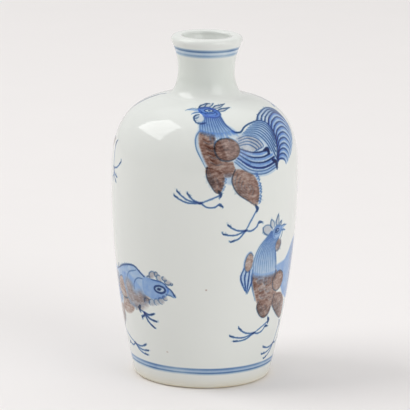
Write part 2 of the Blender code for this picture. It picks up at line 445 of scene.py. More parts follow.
def trunk():
    """Rump, breast and wing of a rooster that walks to the left."""
    wash([(-6.6, 7.6), (-1.4, 9.0), (1.9, 6.7), (5.2, 8.8), (9.2, 8.4), (11.4, 3.0), (10.6, -2.0),
          (4.0, -3.4), (-2.0, -3.2), (-6.6, -1.2), (-8.2, 3.4)], ink=0.22, pool=0.0)
    rump()
    breast()
    wing()


def thigh(outline, edge, dabs=0.7, ink=0.95):
    """A feathered thigh: copper over its outline, with a scalloped edge of small blue dabs behind it."""
    wash(outline, ink=ink, pool=0.2, pigment="copper", clears=True, soft=0.2)
    brush(outline[:5], width=0.22, ink=0.6)
    middle = np.mean(outline, axis=0)
    for share in (0.8, 0.6, 0.4, 0.2, -0.2, -0.4):
        line = [middle + (np.array(place) - middle) * share for place in outline[:4]]
        brush(line, width=0.18, ink=0.22, fade=0.3)
        brush([place + (0.3, 0.1) for place in line], ink=ink * 1.5, fade=0.3, pigment="copper")
    line = through(edge)
    count = max(3, int(len(line) * BRUSH_STEP / 0.8))
    for n in range(count):
        x, y = line[int((n + 0.5) * (len(line) - 1) / count)]
        brush([(x - 0.3, y + 0.2), (x + 0.3, y), (x, y - 0.45)], width=0.5, ink=dabs, fade=0.0,
              pigment="wash")
        brush([(x, y + 0.35), (x + 0.5, y), (x + 0.1, y - 0.45)], width=0.18, ink=dabs * 0.6, fade=0.0)


def leg(hock, ankle, toes, back_toe, weight=1.0):
    """A shank from hock to ankle, long toes that end in claws, and a wavy back toe."""
    hock, ankle = np.array(hock), np.array(ankle)
    brush([hock, ankle], width=0.45, ink=0.5, ends=(0.8, 0.8), pigment="wash")
    brush([hock, ankle], width=0.2, ink=0.62, ends=(1.2, 0.9))
    brush([hock + (-0.3, 0.9), hock + (0.15, 0.2), hock + (0.0, -0.5)], width=0.7, ink=0.95, fade=0.1,
          ends=(0.5, 0.5))
    brush([ankle + (-0.45, -0.1), ankle + (0.4, 0.15)], width=0.5, ink=0.85, fade=0.0)
    for tip in toes + [back_toe]:
        tip = np.array(tip)
        run = tip - ankle
        side = np.array((-run[1], run[0])) / 7
        joints = [ankle, ankle + run * 0.45 + side * 0.8, ankle + run * 0.8 + side * 0.5, tip]
        if tip[0] == back_toe[0]:
            joints[1:-1] = [ankle + run * 0.3 - side, ankle + run * 0.65 - side * 0.6,
                            ankle + run * 0.85 + side * 0.7]
        claw = tip - run / math.hypot(*run) * 0.8
        brush(joints, width=0.45 * weight, ink=0.5, ends=(0.9, 0.7), pigment="wash")
        brush(joints, width=0.2 * weight, ink=0.65 * weight, ends=(1.2, 1.0), fade=-0.2)
        brush([claw + side * 0.2, tip, tip + run * 0.03 - side * 0.3], width=0.32, ink=0.95,
              ends=(0.6, 0.3), fade=0.0)


def front_leg():
    thigh([(-0.5, -1.6), (-1.3, -4.2), (0.0, -7.0), (2.8, -9.1), (4.9, -10.4), (5.6, -8.4), (5.2, -5.2),
           (3.4, -2.8)], [(4.6, -2.8), (5.6, -5.4), (5.9, -8.0), (5.4, -10.2)], ink=0.78)
    leg((5.1, -11.3), (2.3, -16.0), [(-3.0, -16.5), (-2.0, -14.4), (-1.2, -18.4)], (6.6, -14.4))


def walking_legs(lift=0.0):
    """Both legs of a walking rooster, the rear one lifted a little more or less."""
    wash([(-3.2, -2.6), (-0.6, -2.8), (-1.2, -4.6), (-2.4, -4.8)], ink=0.4, soft=0.3)
    thigh([(-6.9, -0.9), (-7.1, -3.0), (-6.1, -5.2), (-4.9, -6.8), (-3.9, -6.6), (-3.1, -4.4),
           (-3.6, -2.2)], [(-3.0, -3.4), (-3.3, -5.4), (-4.0, -6.6)], dabs=0.4)
    leg((-4.0, -7.4), (-8.3, -9.2 + lift),
        [(-14.4, -7.8 + lift), (-13.8, -6.7 + lift), (-11.4, -7.1 + lift)], (-3.4, -10.0 + lift))
    front_leg()


WALL_FIGURES = []


def set_down(angle, arc, faces):
    """Keeps the figure that has been drawn, with its place on the wall and the way that it faces."""
    WALL_FIGURES.append({"angle": math.radians(angle), "arc": arc, "faces": faces, "marks": list(marks)})
    marks.clear()


# The main rooster, high on the right of the front, looks ahead with its beak open.
tail()
trunk()
walking_legs()
neck_feathers()
head((-4.2, 13.3))
set_down(20.0, 55.0, 1.0)

# The second, low on the right, turns its head back over a raised far wing.
hold(at=(3.8, 0.6))
tail()
hold()
wash([(-2.8, 6.6), (-1.0, 7.0), (1.6, 7.6), (3.6, 9.4), (6.0, 11.4), (9.4, 10.8), (11.0, 1.0), (8.0, -3.0),
      (3.0, -1.4), (0.4, 2.0), (-2.0, 4.6)], ink=0.95, pool=0.2, soft=0.3)
wash([(5.0, 9.6), (8.6, 11.4), (11.6, 8.0), (11.0, 1.0), (7.0, -1.6), (5.6, 3.6)], ink=0.14, pool=0.0,
     pigment="copper", soft=0.9)
wash([(-12.5, 7.2), (-12.2, 10.2), (-10.8, 11.5), (-9.8, 9.4), (-9.5, 5.2), (-10.2, 1.8), (-11.4, 2.2),
      (-12.8, 4.6)], pool=0.1)
flights = [[(-12.2, 7.4), (-12.7, 5.2), (-11.2, 2.0)], [(-9.8, 7.0), (-9.6, 4.6), (-10.3, 1.6)]]
hatch(flights, 4, width=0.4, ink=0.6, fade=-0.3, pigment="wash")
hatch(flights, 4, width=0.24, fade=-0.2)
wash(oval((-11.0, 8.8), 1.0, 2.2, -5.0), pool=0.1, pigment="copper", clears=True)
brush(oval((-11.0, 8.8), 1.1, 2.3, -5.0)[1:] + [(-9.9, 8.6)], width=0.22, ink=0.4, fade=0.0)
wash([(-9.4, 6.0), (-9.3, 3.6), (-8.3, 0.8), (-7.0, -1.8), (-4.4, -3.0), (-1.2, -2.8), (-1.0, 1.0),
      (-2.0, 5.6), (-5.6, 5.4)], ink=0.9, pool=0.1, pigment="copper", clears=True, soft=0.25)
for x, y, across in ((-7.2, 3.9, 1.2), (-5.0, 3.3, 1.4), (-6.4, 2.0, 1.0), (-4.2, 1.4, 1.2), (-5.6, 0.0, 1.3),
                     (-3.4, -0.9, 1.0)):
    wash(oval((x, y), across, 0.6), ink=0.1, pool=0.3, clears=True, soft=0.4)
    wash(oval((x, y), across, 0.6), ink=0.6, pool=0.3, pigment="copper", soft=0.4)
    brush([(x - across, y + 0.2), (x - 0.2, y - 0.7), (x + across, y - 0.1)], width=0.2, ink=0.16)
brush([(-9.5, 7.6), (-9.8, 5.2), (-9.1, 2.2), (-7.9, -0.8)], width=0.7, ink=0.35, pigment="wash")
brush([(-9.5, 7.6), (-9.9, 5.2), (-9.2, 2.2), (-8.0, -0.8)], width=0.22, ink=0.5)
wash(oval((-0.6, 2.8), 2.3, 2.4), ink=0.75, pool=0.2, pigment="copper", clears=True)
brush(oval((-0.6, 2.8), 2.35, 2.45)[1:] + [(1.7, 2.4)], width=0.26, ink=0.45, fade=0.3)
thigh([(-6.9, -1.2), (-7.1, -2.8), (-5.8, -4.8), (-4.2, -5.6), (-2.8, -4.8), (-2.4, -2.8), (-4.0, -1.0)],
      [(-2.6, -3.0), (-3.0, -4.6), (-4.0, -5.6)], dabs=0.2, ink=0.72)
thigh([(-1.6, -0.4), (-1.8, -2.8), (0.2, -5.2), (3.0, -7.2), (4.6, -7.0), (4.4, -3.6), (1.8, -0.8)],
      [(5.0, -2.4), (5.2, -4.8), (4.8, -6.8)], dabs=0.2, ink=0.85)
leg((-2.4, -6.8), (-6.6, -9.0), [(-12.9, -9.0), (-11.1, -7.2), (-11.7, -10.4)], (-2.4, -8.0))
leg((4.2, -9.0), (2.6, -13.4), [(-2.2, -13.4), (-2.2, -15.2), (-0.8, -16.6)], (6.2, -12.6))
lobes([((-5.0, 15.3), (-7.9, 16.6), 2.3), ((-4.6, 16.2), (-5.4, 18.2), 1.3),
       ((-3.3, 16.4), (-3.0, 19.1), 1.1), ((-2.2, 16.3), (-1.6, 17.3), 0.7)], line=0.6)
neck_feathers([[(-5.2, 15.4), (-8.5, 12.2), (-9.7, 9.2), (-9.6, 5.6)],
               [(-4.4, 15.0), (-6.8, 11.6), (-7.4, 8.6), (-7.2, 4.8)],
               [(-3.2, 14.4), (-5.0, 11.2), (-5.0, 8.2), (-4.7, 4.6)],
               [(-2.3, 13.8), (-3.2, 10.9), (-2.6, 7.8), (-2.2, 5.0)]], tone=0.42)
head((-2.9, 15.0), turn=10.0, mirror=-1.0, blue=0.85, size=0.76, comb=[], wattle=[])
brush([(-0.9, 14.8), (-1.2, 13.8), (-1.8, 12.8)], width=0.2, ink=0.6)
lobes([((-1.9, 12.9), (-2.8, 10.3), 2.0)], copper=0.6, line=0.25)
set_down(60.0, 22.5, 1.0)

# The third, low on the left, runs to the right with its head down and its beak closed.
hold(at=(1.4, -1.2))
tail()
rump()
hold()
breast(0.5)
wash([(-12.4, 6.6), (-8.0, 9.3), (-4.0, 8.8), (0.0, 7.2), (4.0, 7.0), (3.0, 4.2), (-4.0, 3.0), (-10.6, 2.2)],
     ink=0.68, pool=0.3, clears=True, soft=0.25)
wing(0.5)
wash([(-10.4, 3.4), (-7.6, 6.2), (-5.0, 6.8), (-2.0, 6.4), (-3.6, 2.0), (-5.0, -0.4), (-7.8, -0.8),
      (-10.6, 0.8)], ink=0.95, pool=0.2, clears=True, soft=0.3)
flush = [(-9.8, 3.4), (-7.6, 2.9), (-6.0, 5.0), (-3.8, 4.8), (-4.2, 0.8), (-7.6, -0.8), (-11.0, 0.6)]
wash(flush, ink=0.25, pool=0.0, clears=True, soft=0.9)
wash(flush, ink=0.45, pool=0.0, pigment="copper", soft=0.9)
wash(oval((-10.8, 1.9), 1.5, 0.9), pool=0.0, pigment="copper", soft=0.5)
brush([(-12.6, 6.4), (-10.4, 8.0), (-8.0, 9.4), (-4.0, 8.8), (-0.4, 7.3), (2.0, 6.4)], width=0.36, ink=0.9)
brush([(-11.2, 6.8), (-9.0, 6.6), (-7.6, 5.2), (-7.4, 3.6)], width=0.22, ink=0.5)
brush([(-8.6, 8.4), (-5.8, 7.4), (-4.4, 5.2)], width=0.22, ink=0.4)
wash(oval((-8.2, -0.2), 1.8, 1.0), ink=0.4, pool=0.0, pigment="copper", soft=0.4)
thigh([(0.2, -1.8), (-0.5, -4.4), (0.8, -6.4), (3.0, -7.8), (5.2, -7.4), (5.8, -5.2), (4.2, -3.0)],
      [(5.6, -3.0), (6.2, -5.4), (5.0, -7.6)], ink=0.5)
leg((-8.4, -1.0), (-9.8, -1.6), [(-12.7, -1.4), (-13.1, -3.2), (-12.2, -4.9)], (-8.8, -3.0), weight=1.4)
leg((2.4, -8.2), (-3.6, -10.4), [(-8.2, -9.8), (-8.6, -11.2), (-8.0, -12.4)], (-0.2, -11.2))
for x, y, size in ((-12.6, 7.4, 0.5), (-13.7, 8.2, 1.0), (-14.9, 8.5, 0.6), (-15.6, 7.6, 0.9),
                   (-16.9, 7.7, 0.6), (-17.7, 6.9, 0.8), (-18.6, 6.6, 0.3)):
    curl = oval((x, y), size, size * 0.7, x * 30)
    wash(curl, ink=0.2, pool=0.1, soft=0.3)
    wash(curl, ink=0.2, pool=0.1, pigment="copper", soft=0.3)
    brush(curl[:6], width=0.2, ink=0.65, ends=(0.5, 1.1), fade=0.4)
wash([(-11.0, 7.1), (-13.6, 7.2), (-16.2, 6.8), (-17.7, 5.6), (-17.4, 4.2), (-16.0, 2.9), (-12.8, 2.4),
      (-10.6, 3.8)], ink=0.95, pool=0.2, clears=True)
brush([(-13.4, 7.1), (-16.2, 6.8), (-17.7, 5.5)], width=0.24, ink=0.6, fade=0.0)
for x, y, size in ((-11.2, 1.5, 0.9), (-12.6, 1.4, 0.9), (-14.0, 1.7, 0.8), (-15.3, 2.2, 0.8),
                   (-16.4, 3.0, 0.6)):
    wash(oval((x, y), size, size * 0.8), ink=0.3, pool=0.1, soft=0.3)
    wash(oval((x, y), size, size * 0.8), ink=0.22, pool=0.0, pigment="copper", soft=0.3)
    brush(oval((x, y), size, size * 0.8, 200 + x * 20)[:6], width=0.2, ink=0.4, ends=(0.6, 1.0))
wash([(-17.4, 5.3), (-18.4, 4.9), (-19.2, 3.4), (-18.6, 3.5), (-18.0, 3.8), (-17.2, 4.1)], ink=0.7)
brush([(-17.2, 5.8), (-18.3, 5.1), (-19.2, 3.5)], width=0.26, ink=0.75, fade=-0.3)
brush([(-17.0, 3.9), (-17.9, 3.8), (-18.6, 3.4)], width=0.24, ink=0.65)
brush([(-18.8, 4.2), (-19.1, 3.6)], width=0.45, ink=0.8, fade=0.0)
eye((-15.4, 5.0), 1.4, 0.85, ring=0.42, pupil=0.7)
set_down(-73.0, 19.5, -1.0)

# The fourth, high on the left, looks down as it kicks one foot forward, which is all that the front shows
# of it but for a plume along the shoulder.
tail()
trunk()
thigh([(-7.2, 0.6), (-9.6, 2.6), (-12.0, 3.8), (-13.0, 3.2), (-12.2, 1.6), (-9.6, -0.8), (-6.4, -2.0)],
      [(-11.6, 0.8), (-9.0, -1.4), (-6.6, -2.4)])
front_leg()
leg((-15.2, 2.6), (-16.0, -2.8), [(-20.5, -0.6), (-18.6, -4.6), (-18.0, -5.8)], (-15.4, -5.6))
neck_feathers([[(-3.2, 10.0), (-5.6, 7.6), (-7.2, 5.6)], [(-1.8, 9.6), (-3.6, 7.4), (-4.4, 5.2)],
               [(-0.4, 10.0), (-1.4, 8.0), (-0.4, 6.0)], [(0.2, 10.8), (0.2, 9.0), (1.4, 7.0)]])
head((-1.6, 11.4), turn=22.0, size=0.9)
plume = [(-6.9, 9.6), (-7.2, 11.4), (-6.7, 13.4), (-5.6, 15.5), (-4.7, 17.0), (-3.8, 18.4), (-3.8, 19.6)]
brush(plume, width=0.9, ink=0.3, fade=0.0, ends=(0.4, 0.5))
brush(plume, width=1.3, ink=0.15, fade=0.0, ends=(0.4, 0.5), pigment="wash")
brush(plume, width=1.3, ink=0.2, fade=0.0, ends=(0.4, 0.5), pigment="copper")
set_down(-118.0, 53.0, -1.0)

# The two on the back, which the front doesn't show, walk on in the same hand.
for angle, arc, lift in ((165.0, 25.0, 0.0), (121.0, 52.0, 1.2)):
    tail()
    trunk()
    walking_legs(lift)
    neck_feathers()
    head((-4.2, 13.3))
    set_down(angle, arc, 1.0)

# Two specks of iron in the body, which came up brown in the kiln
for spot in ((0.7, 25.2), (-8.3, 9.0)):
    brush([spot, (spot[0] + 0.1, spot[1])], width=0.26, ink=0.35, ends=(1.0, 1.0), fade=0.0,
          pigment="copper")
set_down(0.0, 0.0, 1.0)


# The painted wall: the same porcelain, its mesh fine only where the brush went. Its points follow each
# stroke's middle and both its edges, and a triangulation joins them, so lines stay crisp at any size.
EDGE_BLUR = 0.13
HALO_SPACING = 0.55
MERGE_SPACING = 0.15
FINE_STROKE = 0.2
THINNEST = 0.02
HALO = 0.6
SEAM_MARGIN = 0.25
REACH = 0.8
POOL_WIDTH = 0.45
WALL_ROWS = 62


def on_panel(figure, local):
    """A figure's millimetres as a place on the flat wall: angle times girth, and arc."""
    arc = figure["arc"] + local[:, 1]
    angle = figure["angle"] + figure["faces"] * local[:, 0] / radius_at(arc)
    angle = (angle + math.pi) % math.tau - math.pi
    return np.column_stack([angle * GIRTH, arc])


def off_panel(figure, panel):
    angle = (panel[:, 0] / GIRTH - figure["angle"] + math.pi) % math.tau - math.pi
    return np.column_stack([figure["faces"] * angle * radius_at(panel[:, 1]), panel[:, 1] - figure["arc"]])


def side_steps(line, closed=False):
    ahead = np.roll(line, -1, 0) - np.roll(line, 1, 0) if closed else np.gradient(line, axis=0)
    ahead /= np.maximum(np.linalg.norm(ahead, axis=1, keepdims=True), 1e-9)
    return np.column_stack([-ahead[:, 1], ahead[:, 0]])


columns = np.arange(TURNS + 1) * math.tau / TURNS - math.pi
rows = np.linspace(FOOT_ARC, ROOT_ARC, WALL_ROWS)
frame_points = [(x * GIRTH, y) for x in columns for y in (FOOT_ARC, ROOT_ARC)]
frame_points += [(x * GIRTH, y) for x in (columns[0], columns[-1]) for y in rows[1:-1]]
layers = [np.array(frame_points)]
for figure in WALL_FIGURES:
    fine_lines, edges, blurs = [], [], []
    for mark in figure["marks"]:
        line = mark["line"]
        side = side_steps(line, closed=mark["kind"] == "area")
        if mark["kind"] == "area":
            edges += [line + side * mark["soft"], line - side * mark["soft"]]
            continue
        half = mark["half"][:, None]
        if half.max() < FINE_STROKE:
            fine_lines.append(line)
        else:
            full = np.maximum(half - EDGE_BLUR, THINNEST)
            edges += [line + side * full, line - side * full]
        blurs += [line + side * (half + EDGE_BLUR), line - side * (half + EDGE_BLUR)]
    inked = np.vstack(fine_lines + edges)
    low, high = inked.min(0) - HALO, inked.max(0) + HALO
    steps = [np.arange(start, end, HALO_SPACING) for start, end in zip(low, high)]
    halo = np.column_stack([sheet.ravel() for sheet in np.meshgrid(*steps)])
    near = set(map(tuple, np.round(inked / HALO_SPACING).astype(int)))
    cells = np.round(halo / HALO_SPACING).astype(int)
    close = [any((a + i, b + j) in near for i in (-1, 0, 1) for j in (-1, 0, 1)) for a, b in cells]
    layers += [on_panel(figure, part) for part in fine_lines + edges + blurs + [halo[np.array(close)]]]
middle_x, middle_y = np.meshgrid(columns[1:-1] * GIRTH, rows[1:-1])
layers.append(np.column_stack([middle_x.ravel(), middle_y.ravel()]))
panel = np.vstack(layers)
fixed = len(frame_points)
kept = np.abs(panel[:, 0]) < math.pi * GIRTH - SEAM_MARGIN
kept &= (panel[:, 1] > FOOT_ARC + SEAM_MARGIN) & (panel[:, 1] < ROOT_ARC - SEAM_MARGIN)
kept[:fixed] = True
panel = panel[kept]
cell = np.round(panel / MERGE_SPACING).astype(int)
first = np.sort(np.unique(cell, axis=0, return_index=True)[1])
first = np.union1d(np.arange(fixed), first)
panel = panel[first]
flat = delaunay_2d_cdt([Vector(place) for place in panel.tolist()], [], [], 0, 1e-6)
panel = np.array([tuple(place) for place in flat[0]])
triangles = flat[2]


def stroke_cover(mark, places):
    """How much ink a stroke leaves at each place."""
    line, half, ink = mark["line"], mark["half"], mark["ink"]
    start, run = line[:-1], np.diff(line, axis=0)
    reach = places[:, None, :] - start
    share = np.clip((reach * run).sum(2) / np.maximum((run**2).sum(1), 1e-12), 0.0, 1.0)
    gap = np.linalg.norm(reach - share[..., None] * run, axis=2)
    width = half[:-1] + (half[1:] - half[:-1]) * share
    cover = np.clip((width + EDGE_BLUR - gap) / (2 * EDGE_BLUR), 0.0, 1.0)
    depth = cover * (ink[:-1] + (ink[1:] - ink[:-1]) * share)
    return depth.max(1)


def area_cover(mark, places):
    """How much of each place an area covers, with a blurred edge, and the pooling along that edge."""
    start = mark["line"]
    end = np.roll(start, -1, 0)
    run = end - start
    reach = places[:, None, :] - start
    share = np.clip((reach * run).sum(2) / np.maximum((run**2).sum(1), 1e-12), 0.0, 1.0)
    gap = np.linalg.norm(reach - share[..., None] * run, axis=2).min(1)
    above = (start[:, 1] > places[:, 1:2]) != (end[:, 1] > places[:, 1:2])
    slope = np.where(np.abs(run[:, 1]) < 1e-9, 1e-9, run[:, 1])
    crossing = start[:, 0] + run[:, 0] * (places[:, 1:2] - start[:, 1]) / slope
    inside_it = (above & (places[:, :1] < crossing)).sum(1) % 2 == 1
    cover = np.clip(0.5 + np.where(inside_it, gap, -gap) / (2 * mark["soft"]), 0.0, 1.0)
    return cover, 1.0 + mark["pool"] * np.exp(-((gap / POOL_WIDTH) ** 2))


pigments = {name: np.zeros(len(panel)) for name in ("line", "wash", "copper")}
for figure in WALL_FIGURES:
    local = off_panel(figure, panel)
    for mark in figure["marks"]:
        low, high = mark["line"].min(0) - REACH, mark["line"].max(0) + REACH
        touched = np.flatnonzero(((local > low) & (local < high)).all(1))
        if mark["kind"] == "stroke":
            depth = stroke_cover(mark, local[touched])
        else:
            cover, pool = area_cover(mark, local[touched])
            depth = cover * mark["ink"] * pool
            if mark["clears"]:
                for amount in pigments.values():
                    amount[touched] *= 1.0 - cover
        amount = pigments[mark["pigment"]]
        if mark["pigment"] == "wash":
            amount[touched] += depth
        else:
            amount[touched] = np.maximum(amount[touched], depth)

angles = panel[:, 0] / GIRTH
radii = radius_at(panel[:, 1]) * MM
heights = np.interp(panel[:, 1], wall_arcs, wall_heights) * MM
places = np.column_stack([radii * np.sin(angles), -radii * np.cos(angles), heights])
bpy.ops.object.select_all(action="DESELECT")
wall_mesh = bpy.data.meshes.new("painted_wall")
wall_mesh.from_pydata(places.tolist(), [], triangles)
painted_wall = bpy.data.objects.new("painted_wall", wall_mesh)
bpy.context.collection.objects.link(painted_wall)
brushwork = wall_mesh.attributes.new("brushwork", "FLOAT_COLOR", "POINT")
inks = np.column_stack([*pigments.values(), np.ones(len(panel))])
brushwork.data.foreach_set("color", inks.astype(np.float32).ravel())

for piece in (bottle, foot_ring):
    bare = piece.data.attributes.new("brushwork", "FLOAT_COLOR", "POINT")
    bare.data.foreach_set("color", [0.0] * 4 * len(piece.data.vertices))

# Joined along its two rims, the body is one closed skin of porcelain with its faces outwards.
RIM_WELD = 0.00002
ON_WALL = 0.02
bpy.ops.object.select_all(action="DESELECT")
for piece in (bottle, foot_ring, painted_wall):
    piece.select_set(True)
bpy.context.view_layer.objects.active = bottle
bpy.ops.object.join()
bpy.ops.object.mode_set(mode="EDIT")
bpy.ops.mesh.select_all(action="SELECT")
bpy.ops.mesh.remove_doubles(threshold=RIM_WELD)
bpy.ops.mesh.normals_make_consistent(inside=False)
bpy.ops.object.mode_set(mode="OBJECT")
bpy.ops.object.shade_smooth()
mesh = bottle.data

# Every vertex gets the surface's own normal, because thin triangles beside a stroke would dent the gloss.
vertices = np.empty(len(mesh.vertices) * 3)
mesh.vertices.foreach_get("co", vertices)
vertices = vertices.reshape(-1, 3)
normals = np.array([tuple(vertex.normal) for vertex in mesh.vertices])
out = np.hypot(vertices[:, 0], vertices[:, 1])
on_wall = np.abs(out / MM - np.interp(vertices[:, 2] / MM, wall_heights, wall_radii)) < ON_WALL
on_wall &= (vertices[:, 2] >= FOOT_EDGE) & (vertices[:, 2] <= neck_root.z)
tilt = np.gradient(wall_radii, wall_arcs)
lean = np.interp(vertices[:, 2] / MM, wall_heights, tilt)
climb = np.sqrt(np.maximum(1.0 - lean**2, 0.0))
around = vertices[:, :2] / np.maximum(out, 1e-9)[:, None]
surface = np.column_stack([around * climb[:, None], -lean])
normals[on_wall] = surface[on_wall]
mesh.normals_split_custom_set_from_vertices(normals.tolist())

# The bottle's own unwrapping: the angle round it across, and the length along its profile up. The painted
# wall gets more than half of the height, between the neck's root and the foot's edge.
SHARES_UP = (0.005, 0.19, 0.32, 0.90, 0.995)
outer_wall = [place for place in wall[::-1] if place.z > FOOT_EDGE]
profile = inside + lip + neck + outer_wall[1:] + foot
profile = np.array([(place.x, place.z) for place in profile])
lengths = np.concatenate([[0.0], np.cumsum(np.linalg.norm(np.diff(profile, axis=0), axis=1))]) / MM
root_at = len(inside + lip + neck) - 1
foot_at = len(profile) - len(foot)
turning = np.concatenate([np.arange(root_at + 1), np.arange(foot_at, len(profile))])
gaps = np.hypot(out[:, None] - profile[turning, 0], vertices[:, 2:] - profile[turning, 1])
along = lengths[turning[gaps.argmin(1)]]
arc = np.interp(vertices[:, 2] / MM, wall_heights, wall_arcs)
along[on_wall] = (lengths[root_at] + ROOT_ARC - arc)[on_wall]
keys = lengths[[0, len(inside) - 1, root_at, foot_at, len(profile) - 1]]
up = np.interp(along, keys, SHARES_UP)
corners = np.empty(len(mesh.loops), dtype=np.int32)
mesh.loops.foreach_get("vertex_index", corners)
face_sizes = np.array([len(face.vertices) for face in mesh.polygons])
face_of = np.repeat(np.arange(len(face_sizes)), face_sizes)
facing = np.zeros((len(face_sizes), 2))
np.add.at(facing, face_of, vertices[corners, :2])
middle = np.arctan2(facing[:, 0], -facing[:, 1])[face_of]
own = np.arctan2(vertices[corners, 0], -vertices[corners, 1])
step_round = (own - middle + math.pi) % math.tau - math.pi
step_round[out[corners] < 0.00001] = 0.0
across = (middle + step_round + math.pi) / math.tau
unwrapped = mesh.uv_layers.new(name="OFBake")
unwrapped.data.foreach_set("uv", np.column_stack([across, up[corners]]).astype(np.float32).ravel())
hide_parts("bottle")
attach(bottle, "root")


# Glazed hard-paste porcelain: a cool, faintly green white under a clear feldspar glaze, glossy and very
# slightly rippled. Cobalt lies under the glaze as blue glass, deeper where the brush left more, and copper
# has fired to a mottled brown. The foot ring is bare, and its body has toasted to a warm buff.
def linear(colour):
    """An sRGB hex colour as linear values."""
    levels = [int(colour[n:n + 2], 16) / 255 for n in (1, 3, 5)]
    return [x / 12.92 if x <= 0.04045 else ((x + 0.055) / 1.055) ** 2.4 for x in levels] + [1.0]


PORCELAIN_WHITE = linear("#E3E6E2")
COBALT_WASH = linear("#95B8EE")
COBALT_LINE = linear("#4C6880")
COPPER_BROWN = linear("#96746A")
GLAZE_IOR = 1.5
GLAZE_ROUGHNESS = 0.045
BARE_ROUGHNESS = 0.6
glazed = bpy.data.materials.new("glazed_porcelain")
glazed.use_nodes = True
tree = glazed.node_tree
shader = tree.nodes["Principled BSDF"]


def add(kind, sockets, **settings):
    """Adds a node, sets what is given by name, and links or sets its sockets."""
    node = tree.nodes.new(kind)
    for name, value in settings.items():
        setattr(node, name, value)
    for socket, value in sockets.items():
        if isinstance(value, bpy.types.NodeSocket):
            tree.links.new(value, node.inputs[socket])
        else:
            node.inputs[socket].default_value = value
    return node


def ramp(node, stops):
    """Sets a colour ramp's stops: a place along it and the colour there."""
    line = node.color_ramp
    while len(line.elements) > 1:
        line.elements.remove(line.elements[-1])
    line.elements[0].position, line.elements[0].color = stops[0]
    for place, colour in stops[1:]:
        line.elements.new(place).color = colour


def reckon(operation, *values):
    return add("ShaderNodeMath", dict(enumerate(values)), operation=operation).outputs[0]


def noise(place, size, detail, **sockets):
    """Noise whose clouds are about that many metres across."""
    sockets.update(Vector=place, Scale=1 / size, Detail=detail)
    return add("ShaderNodeTexNoise", sockets).outputs["Fac"]


def spread(value, low, high, least, most):
    """A value between low and high, spread out from least to most."""
    ends = {"From Min": low, "From Max": high, "To Min": least, "To Max": most}
    return add("ShaderNodeMapRange", {"Value": value, **ends}).outputs[0]


def tinted(base, tint):
    sockets = {0: 1.0, 6: base, 7: tint}
    return add("ShaderNodeMix", sockets, data_type="RGBA", blend_type="MULTIPLY").outputs[2]


here = add("ShaderNodeTexCoord", {}).outputs["Object"]
height_in = add("ShaderNodeSeparateXYZ", {0: here}).outputs["Z"]
flat_place = add("ShaderNodeVectorMath", {0: here, 1: (1.0, 1.0, 0.0)}, operation="MULTIPLY").outputs[0]
radius_in = add("ShaderNodeVectorMath", {0: flat_place}, operation="LENGTH").outputs["Value"]

# Bands ruled on the turning wheel: they wander by a tenth of a millimetre, once or twice in a finger's width
WANDER = 0.00022
wander = reckon("MULTIPLY_ADD", noise(here, 0.011, 2.0), WANDER, -WANDER / 2)
band_place = reckon("DIVIDE", reckon("ADD", height_in, wander), HEIGHT)
# Height in millimetres, ink of the line, ink of the wash
BANDS = [
    (3.7, 0.0, 0.0), (3.9, 0.38, 0.5), (4.14, 0.38, 0.5), (4.3, 0.0, 0.45), (4.62, 0.0, 0.45),
    (4.8, 0.3, 0.5), (5.0, 0.3, 0.5), (5.2, 0.0, 0.0), (75.84, 0.0, 0.0), (76.02, 0.17, 0.4),
    (76.24, 0.17, 0.4), (76.42, 0.0, 0.35), (76.98, 0.0, 0.35), (77.14, 0.5, 0.2), (77.4, 0.5, 0.2),
    (77.6, 0.0, 0.0),
]
bands = add("ShaderNodeValToRGB", {"Fac": band_place})
ramp(bands, [(z * MM / HEIGHT, (line, blue, 0.0, 1.0)) for z, line, blue in BANDS])
# The same heights inside the bottle stay white: outside, the radius plus a share of the height is larger
LEAN_OUT = 0.117
OUTSIDE_FROM = 0.01513
is_outside = reckon("GREATER_THAN", reckon("MULTIPLY_ADD", height_in, LEAN_OUT, radius_in), OUTSIDE_FROM)
loaded = spread(noise(here, 0.007, 1.0), 0.35, 0.65, 0.7, 1.25)
ruled = reckon("MULTIPLY", is_outside, loaded)
painted_bands = add("ShaderNodeVectorMath", {0: bands.outputs["Color"], "Scale": ruled}, operation="SCALE")

brushed = add("ShaderNodeAttribute", {}, attribute_name="brushwork").outputs["Color"]
inked = add("ShaderNodeVectorMath", {0: brushed, 1: painted_bands.outputs[0]}, operation="ADD").outputs[0]
ink = add("ShaderNodeSeparateXYZ", {0: inked})
# Cobalt settles unevenly in the wet wash, in clouds a millimetre or two across
clouded = spread(noise(here, 0.0016, 3.0), 0.3, 0.7, 0.78, 1.22)
LINE_BLUE = 1.5
blue = reckon("MULTIPLY_ADD", ink.outputs["X"], LINE_BLUE, reckon("MULTIPLY", ink.outputs["Y"], clouded))
# Copper breaks into speckles under a millimetre across, and thins out in patches a few millimetres across
streaks = add("ShaderNodeVectorMath", {0: here, 1: (1.0, 1.0, 2.0)}, operation="MULTIPLY").outputs[0]
speckled = spread(noise(streaks, 0.0009, 4.0, Roughness=0.65), 0.36, 0.62, 0.72, 1.36)
patched = spread(noise(streaks, 0.0026, 2.0), 0.38, 0.6, 0.8, 1.25)
brown = reckon("MULTIPLY", ink.outputs["Z"], reckon("MULTIPLY", speckled, patched))

# Each pigment is a tint to the power of how much of it there is, and they multiply on the white body
colour = PORCELAIN_WHITE
for pigment, amount in ((COBALT_WASH, blue), (COBALT_LINE, ink.outputs["X"]), (COPPER_BROWN, brown)):
    colour = tinted(colour, add("ShaderNodeGamma", {"Color": pigment, "Gamma": amount}).outputs[0])

